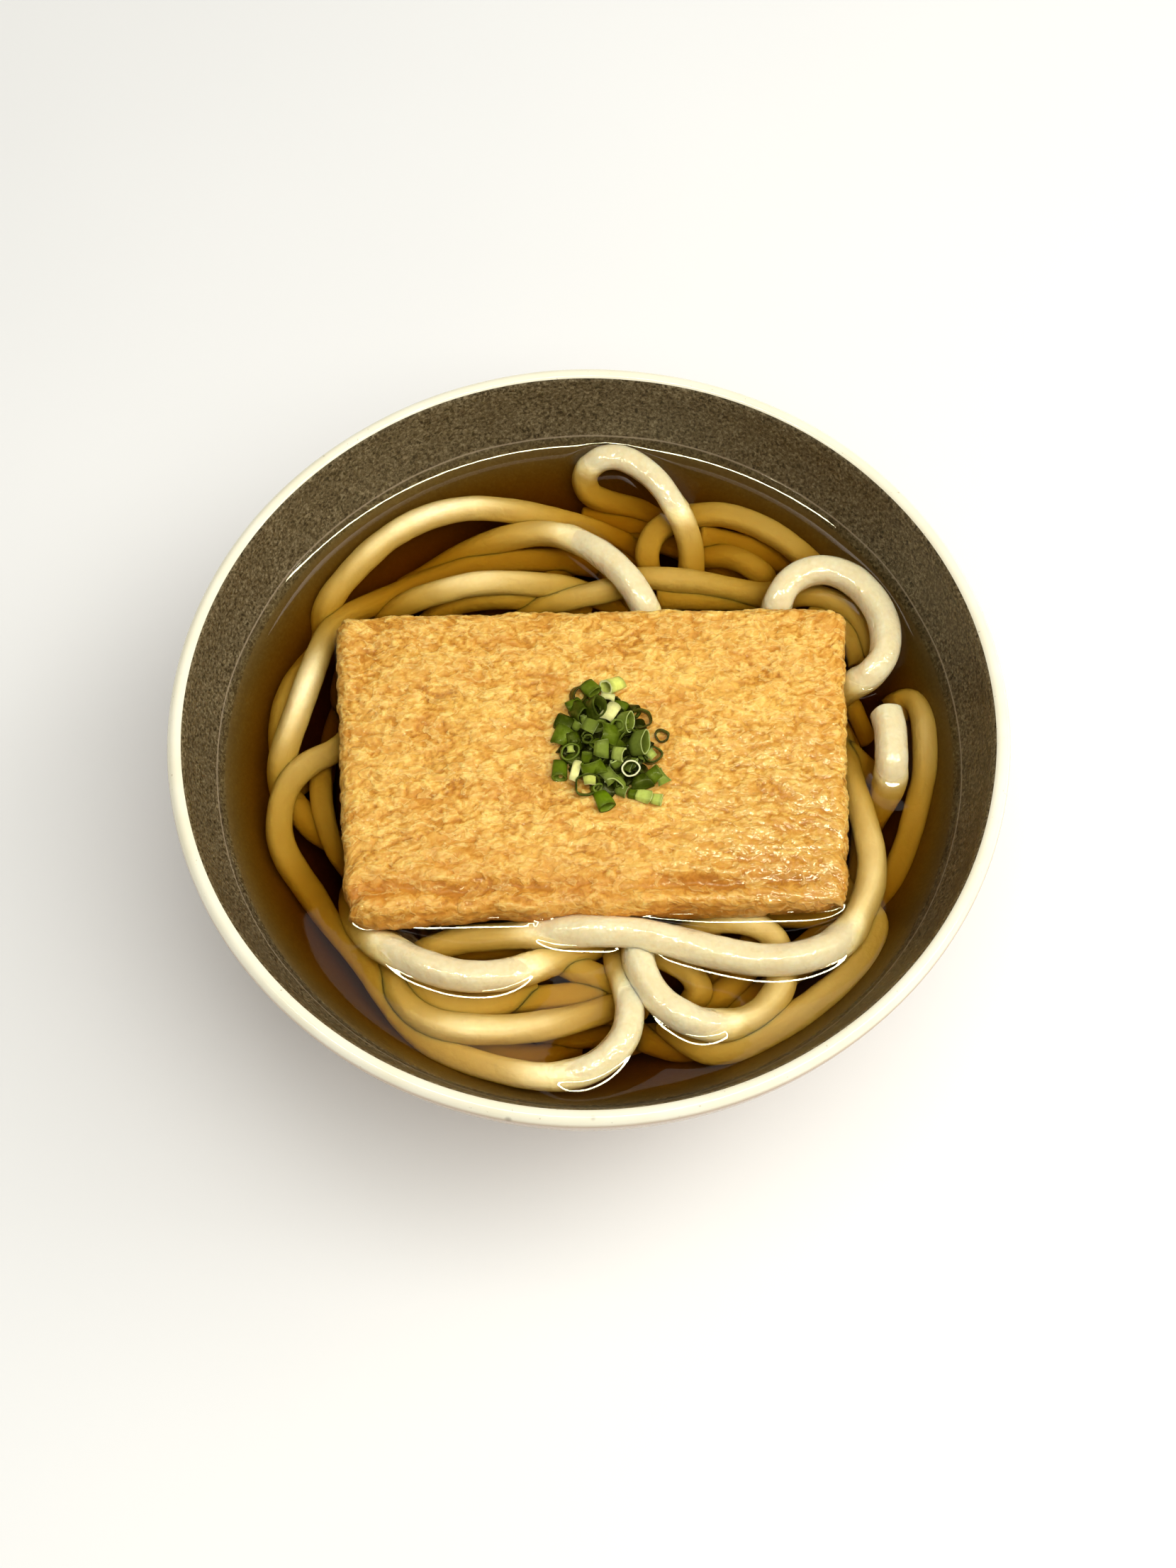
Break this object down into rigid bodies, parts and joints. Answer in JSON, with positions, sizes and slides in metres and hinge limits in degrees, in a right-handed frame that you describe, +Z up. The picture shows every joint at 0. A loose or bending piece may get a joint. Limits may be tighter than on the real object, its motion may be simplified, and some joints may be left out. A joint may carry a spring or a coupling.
{
  "type": "udon noodle bowl",
  "caption": "Round footed bowl of thick white noodles in clear brown broth, with a slab of fried tofu and a small heap of sliced spring onion on top.",
  "frame": {"origin": "middle of the bowl's foot, on the surface that it stands on", "axes": "+Z up; +Y away from the diner, across the tofu's short side; +X to the diner's right, along the tofu's long side"},
  "size_m": [0.2, 0.2, 0.078],
  "materials": {
    "bowl_glaze": "gloss",
    "broth": "polished",
    "noodle": "satin",
    "fried_tofu": "satin",
    "spring_onion": "satin"
  },
  "bodies": {
    "root": {"bowl": "bowl_glaze", "broth": "broth", "noodles": "noodle", "fried_tofu": "fried_tofu", "spring_onion": "spring_onion"}
  },
  "joints": []
}
